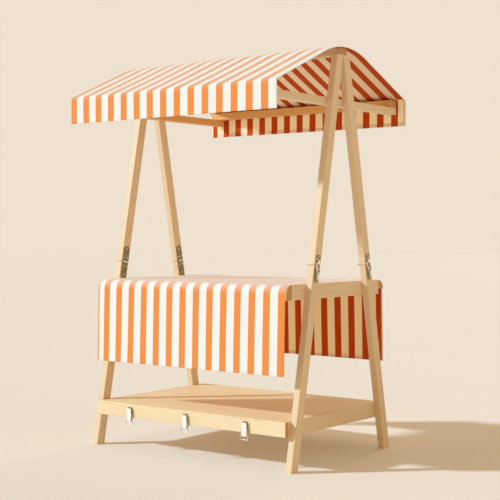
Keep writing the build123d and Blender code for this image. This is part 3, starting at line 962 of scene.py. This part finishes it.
class STALL_OT_counter_cloth(bpy.types.Operator):
    """Striped cloth draped over the counter, with its hems and stitching"""

    bl_idname = "stall.counter_cloth"
    bl_label = "Counter cloth"

    def execute(self, context):
        scene = context.scene
        settings = scene.stall_cloth
        cloth = scene.stall_canvas
        path = cloth_path(settings)
        half_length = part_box("counter_cloth")[1].x
        hang = path.pieces[-1][0]
        shoulder = path.reach() - hang

        def waves(x, run):
            away = abs(run)
            if away < shoulder:
                return TOP_UNREST * unrest(x * TOP_WAVES, run * TOP_WAVES, TOP_SLICE)
            fall = (away - shoulder) / hang
            side = math.copysign(FOLD_SIDE, run)
            fold = unrest(x * FOLD_WAVES + FOLD_LEAN * fall, side, FOLD_CHANGE * fall)
            billow = unrest(x * BILLOW_WAVES, side + BILLOW_SHIFT, BILLOW_CHANGE * fall)
            return settings.ripple * fall ** WAVE_GROWTH * (FOLD_SHARE * fold + billow)

        hems = (settings.end_hem, settings.edge_hem)
        sheet = Sheet(path, half_length, path.reach(), hems, cloth.thickness, waves)
        part = settings.part_stripe
        # Painted sheen on top of the counter
        outer = canvas("counter_canvas_outer", settings, outer=True, sheen_reach=shoulder, part_stripe=part)
        # Inner face and hems: colours with painted shade
        inner = canvas("counter_canvas_inner", settings, glow=1.0, part_stripe=part)
        hem = canvas("counter_canvas_hem", settings, part_stripe=part)
        piece = sheet.build("counter_cloth_sheet", [outer, inner, hem, hem])
        stitching = sewn("counter_cloth_stitching", edge_rows(sheet))
        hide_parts("counter_cloth")
        sheet.flat()
        return {"FINISHED"}


# Fittings

PLATE_TOP = 2.6 * MILLIMETRE
BARREL_FOOT = 3 * MILLIMETRE
PLATING_BLUR = 0.2 * MILLIMETRE
PLATING_DEPTH = 0.06 * MILLIMETRE
METAL_SHARE = 0.72

# Clouds, grit and rubbing of the plating, in features to the metre
CLOUDS = (70.0, 4.0, 0.6)
GRIT = 900.0
RUBBING = (60.0, 60.0, 700.0)

# Tarnish: where the clouds start, their contrast and the grit's, and the share on bright plating
CLOUD_START = 0.42
CLOUD_CONTRAST = 1.6
GRIT_CONTRAST = 0.4
BRIGHT_DULLED = 0.35

LEAST_ROUGHNESS = 0.3
CLOUD_ROUGHNESS = 0.22
RUBBED_ROUGHNESS = 0.12


def plating(name, glint_mask=None):
    """Zinc plating, cloudy and finely rubbed, with tarnish clouds: painted dark reflections on the plates,
    and a painted bright glint where the glint mask is 1.
    """
    fittings = bpy.context.scene.stall_fittings
    finish = material(name)
    place = finish.object_place()
    cloud = finish.noise(place, *CLOUDS)
    grit = finish.noise(place, GRIT)
    rubbing = finish.noise(finish.scaled(place, *RUBBING), 1.0)
    share = (cloud - CLOUD_START) * CLOUD_CONTRAST + (grit - 0.5) * GRIT_CONTRAST
    dull = finish.blend(share.clamped(), fittings.dull, fittings.tarnish)
    bright = finish.blend((share * BRIGHT_DULLED).clamped(), fittings.bright, fittings.dull)
    # Painted light: bright glint on the marked parts, dull dark reflection elsewhere
    base = finish.blend(glint_mask(finish, place) if glint_mask else 1.0, dull, bright)
    gloss = LEAST_ROUGHNESS + cloud * CLOUD_ROUGHNESS + rubbing * RUBBED_ROUGHNESS
    return finish.shine(base, gloss, (rubbing + grit) * 0.5, PLATING_DEPTH, Metallic=METAL_SHARE)


def raised(axis, level, fronts_only=False):
    """Mask of the painted glint: 1 further out than level along an axis of the stall, or only on the faces
    there that look out, whose sides then stay dull as painted shade.
    """
    def mask(finish, place):
        share = (abs(finish.axes(place)[axis]) - level).above_zero(PLATING_BLUR)
        return share * finish.facing(axis) ** 2 if fronts_only else share

    return mask


def barrel(level):
    """Mask of the painted glint: 1 round a hinge's barrel, which stands in from level, and 0 on its ends and
    leaves; the dull ends are painted shade over the sun's glint on them, and the dull leaves a painted dark
    reflection.
    """
    def mask(finish, place):
        inwards = level - abs(finish.axes(place)[0])
        return inwards.above_zero(PLATING_BLUR) * (1 - finish.facing(1))

    return mask


# A screw's head with its cross recess: shares of its diameter
RECESS_WIDTH = 0.11
RECESS_REACH = 0.3
RECESS_DEPTH = 0.09
RECESS_TAPER = 0.7
CROWN = 0.13
SHOULDER = 0.115
RIM = 0.04
SKIRT = 0.08
RIM_SIDES = 12


def screw_head(mesh, seat, diameter):
    """Raised countersunk head with a cross recess, seated along the Z of its seat."""
    grid = bmesh.ops.create_grid(mesh, x_segments=3, y_segments=3, size=1)["verts"]
    for vertex in grid:
        for axis in (0, 1):
            value = vertex.co[axis]
            vertex.co[axis] = math.copysign(RECESS_WIDTH / 2 if abs(value) < 0.5 else RECESS_REACH, value)
        vertex.co.z = CROWN
    faces = dict.fromkeys(face for vertex in grid for face in vertex.link_faces)
    cross = [face for face in faces if min(map(abs, face.calc_center_median()[:2])) < RECESS_WIDTH / 4]
    outline = [edge for face in faces for edge in face.edges if edge.is_boundary]
    for edge in outline:
        for vertex in edge.verts:
            vertex.co.z = SHOULDER
    rim = bmesh.ops.create_circle(mesh, segments=RIM_SIDES, radius=0.5)["verts"]
    bmesh.ops.rotate(mesh, verts=rim, matrix=Matrix.Rotation(math.pi / RIM_SIDES, 3, "Z"))
    bmesh.ops.translate(mesh, verts=rim, vec=(0, 0, RIM))
    rim_edges = list(dict.fromkeys(edge for vertex in rim for edge in vertex.link_edges))
    bmesh.ops.bridge_loops(mesh, edges=outline + rim_edges)
    skirt = bmesh.ops.extrude_edge_only(mesh, edges=rim_edges)["geom"]
    foot = [item for item in skirt if isinstance(item, bmesh.types.BMVert)]
    bmesh.ops.translate(mesh, verts=foot, vec=(0, 0, -SKIRT))
    deep = bmesh.ops.extrude_face_region(mesh, geom=cross)["geom"]
    sunk = [item for item in deep if isinstance(item, bmesh.types.BMVert)]
    bmesh.ops.delete(mesh, geom=cross, context="FACES_ONLY")
    bmesh.ops.scale(mesh, verts=sunk, vec=(RECESS_TAPER, RECESS_TAPER, 1))
    bmesh.ops.translate(mesh, verts=sunk, vec=(0, 0, -RECESS_DEPTH))
    whole = dict.fromkeys([*grid, *rim, *foot, *sunk])
    bmesh.ops.transform(mesh, matrix=seat @ Matrix.Scale(diameter, 4), verts=list(whole))


def leg_face(side, end, outward, height):
    """Frame on a leg's outer or inner face at its joint: X across the leg, Y up it, Z out of the face."""
    foot, joint = leg_axis(side, end)
    normal = Vector((SIDES[side] * outward, 0, 0))
    up = (joint - foot).normalized()
    low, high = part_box(f"{side}_{end}_lower_leg")
    half_leg = (high.x - low.x) / 2
    origin = joint + normal * (half_leg + height)
    across = up.cross(normal)
    return Matrix.Translation(origin) @ Matrix((across, up, normal)).transposed().to_4x4()


def set_screws(name, plane, places, diameter, material, chance):
    """Screw heads at places on a plane, each turned as it happened to stop."""
    mesh = bmesh.new()
    for across, up in places:
        place = Matrix.Translation((across * MILLIMETRE, up * MILLIMETRE, 0))
        turn = Matrix.Rotation(chance.uniform(0, math.pi / 2), 4, "Z")
        screw_head(mesh, plane @ place @ turn, diameter)
    bmesh.ops.recalc_face_normals(mesh, faces=mesh.faces)
    for face in mesh.faces:
        face.smooth = False
    piece = finished(name, mesh, [material])


SCREW_SEED = 5
HINGE_SHEET = 2.5 * MILLIMETRE
LATCH_SHEET = 2 * MILLIMETRE

# Screws, from the joint of the leg: across it and up it, in millimetres
HINGE_SCREWS = [(-12.5, -24), (-12.5, 24), (12.5, -24), (12.5, 24), (0, 73), (0, -73)]
LATCH_SCREWS = [(0, -30), (0, -78.5), (-10, 33), (10, 33), (0, 48)]


class STALL_OT_fittings(bpy.types.Operator):
    """Zinc finish of the hinges and latches, and their screws"""

    bl_idname = "stall.fittings"
    bl_label = "Hinges, latches and screws"

    def execute(self, context):
        diameter = context.scene.stall_fittings.screw_head
        chance = random.Random(SCREW_SEED)
        leg_low, leg_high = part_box("right_front_upper_leg")
        rail_face = -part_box("shelf_front_rail")[0].y
        # Painted glint round the hinge barrels; painted shade on their ends and dark reflection on the leaves
        hinge_zinc = plating("hinge_zinc", barrel(leg_low.x - BARREL_FOOT))
        # Painted glint on the latch parts further out than the plate
        leg_latch_zinc = plating("leg_latch_zinc", raised(0, leg_high.x + PLATE_TOP))
        # Painted glint only on the faces looking to the front; their sides stay dull as painted shade
        rail_latch_zinc = plating("rail_latch_zinc", raised(1, rail_face + PLATE_TOP, fronts_only=True))
        # Painted glint on every screw head
        screw_zinc = plating("screw_zinc")
        for node in nodes_in("hinge_steel"):
            cover(node, hinge_zinc)
        for node in nodes_in("latch_steel"):
            cover(node, rail_latch_zinc if node.startswith("shelf") else leg_latch_zinc)
        sets = {"hinge": (-1, HINGE_SHEET, HINGE_SCREWS), "latch": (1, LATCH_SHEET, LATCH_SCREWS)}
        for side, end in LEG_CORNERS:
            for kind, (outward, sheet, places) in sets.items():
                plane = leg_face(side, end, outward, sheet)
                name = f"{side}_{end}_{kind}_screws"
                set_screws(name, plane, places, diameter, screw_zinc, chance)
        return {"FINISHED"}


# Stage

FLOOR_RADIUS = 60
FLOOR_SIDES = 96
FLOOR_DARKEST = 0.93
FLOOR_MIX = 0.3
FLOOR_MOTTLE = (1.2, 3.0)
FLOOR_SPECULAR = 0.1
SENSOR_WIDTH = 36
FAR_CLIP = 300


class STALL_OT_stage(bpy.types.Operator):
    """Floor, lights and camera"""

    bl_idname = "stall.stage"
    bl_label = "Stage"

    def execute(self, context):
        scene = context.scene
        stage = scene.stall_stage
        self.lay_floor(stage)
        self.hang_lights(scene, stage)
        self.set_camera(scene, stage)
        scene.view_settings.view_transform = "Standard"
        return {"FINISHED"}

    def lay_floor(self, stage):
        mesh = bmesh.new()
        bmesh.ops.create_circle(mesh, cap_ends=True, segments=FLOOR_SIDES, radius=FLOOR_RADIUS)
        finish = material("pale_floor")
        mottle = finish.noise(finish.object_place(), *FLOOR_MOTTLE)
        tint = finish.blend(mottle * FLOOR_MIX, stage.floor, shaded(stage.floor, FLOOR_DARKEST))
        pale = finish.shine(tint, 1.0, Specular_IOR_Level=FLOOR_SPECULAR)
        object_of("floor", mesh, [pale])

    def hang_lights(self, scene, stage):
        for name in ("key", "back", "side"):
            self.hang_lamp(scene, stage, name)
        scene.world = bpy.data.worlds.new("studio")
        studio = Finish(scene.world)
        camera_ray, glossy_ray, transmission_ray = [
            studio.add("ShaderNodeLightPath", output=f"Is {kind} Ray")
            for kind in ("Camera", "Glossy", "Transmission")
        ]
        shown = camera_ray.math("MAXIMUM", glossy_ray).math("MAXIMUM", transmission_ray)
        light = {"Color": opaque(stage.fill_tint), "Strength": stage.fill}
        backdrop = {"Color": opaque(stage.backdrop), "Strength": 1.0}
        fill = studio.add("ShaderNodeBackground", sockets=light)
        seen = studio.add("ShaderNodeBackground", sockets=backdrop)
        mixed = studio.add("ShaderNodeMixShader", sockets={0: shown, 1: fill, 2: seen})
        studio.add("ShaderNodeOutputWorld", sockets={"Surface": mixed})

    def hang_lamp(self, scene, stage, name):
        """Far lamp that shines towards a turn from +X, from a height above the horizon."""
        light = bpy.data.lights.new(name, "SUN")
        light.energy = getattr(stage, name)
        light.color = getattr(stage, f"{name}_tint")
        light.angle = getattr(stage, f"{name}_spread")
        turn = getattr(stage, f"{name}_turn")
        height = getattr(stage, f"{name}_height")
        lamp = bpy.data.objects.new(name, light)
        lamp.rotation_euler = (0, math.pi / 2 - height, turn + math.pi)
        scene.collection.objects.link(lamp)

    def set_camera(self, scene, stage):
        data = bpy.data.cameras.new("camera")
        data.lens = stage.lens
        data.sensor_width = SENSOR_WIDTH
        data.clip_end = FAR_CLIP
        camera = bpy.data.objects.new("camera", data)
        camera.location = stage.eye
        camera.rotation_euler = (math.pi / 2 + stage.pitch, 0, stage.turn)
        scene.collection.objects.link(camera)
        scene.camera = camera


SETTINGS = {
    "stall_timber": TimberSettings,
    "stall_canvas": CanvasSettings,
    "stall_canopy": CanopySettings,
    "stall_lining": LiningSettings,
    "stall_cloth": ClothSettings,
    "stall_fittings": FittingSettings,
    "stall_stage": StageSettings,
}
OPERATORS = [STALL_OT_stage, STALL_OT_timber, STALL_OT_canopy, STALL_OT_counter_cloth, STALL_OT_fittings]


class STALL_PT_build(bpy.types.Panel):
    """The stall's pieces and their settings"""

    bl_idname = "STALL_PT_build"
    bl_label = "Market stall"
    bl_space_type = "VIEW_3D"
    bl_region_type = "UI"
    bl_category = "Stall"

    def draw(self, context):
        for operator in OPERATORS:
            self.layout.operator(operator.bl_idname)
        for name, group in SETTINGS.items():
            box = self.layout.box()
            box.label(text=group.__doc__)
            for setting in group.__annotations__:
                box.prop(getattr(context.scene, name), setting)


def register():
    for group in SETTINGS.values():
        bpy.utils.register_class(group)
    for name, group in SETTINGS.items():
        setattr(bpy.types.Scene, name, PointerProperty(type=group))
    for operator in OPERATORS:
        bpy.utils.register_class(operator)
    bpy.utils.register_class(STALL_PT_build)


def unregister():
    bpy.utils.unregister_class(STALL_PT_build)
    for operator in reversed(OPERATORS):
        bpy.utils.unregister_class(operator)
    for name in SETTINGS:
        delattr(bpy.types.Scene, name)
    for group in reversed(list(SETTINGS.values())):
        bpy.utils.unregister_class(group)


def main():
    register()
    bpy.ops.stall.stage()
    bpy.ops.stall.timber()
    bpy.ops.stall.canopy()
    bpy.ops.stall.counter_cloth()
    bpy.ops.stall.fittings()


if __name__ == "__main__":
    main()
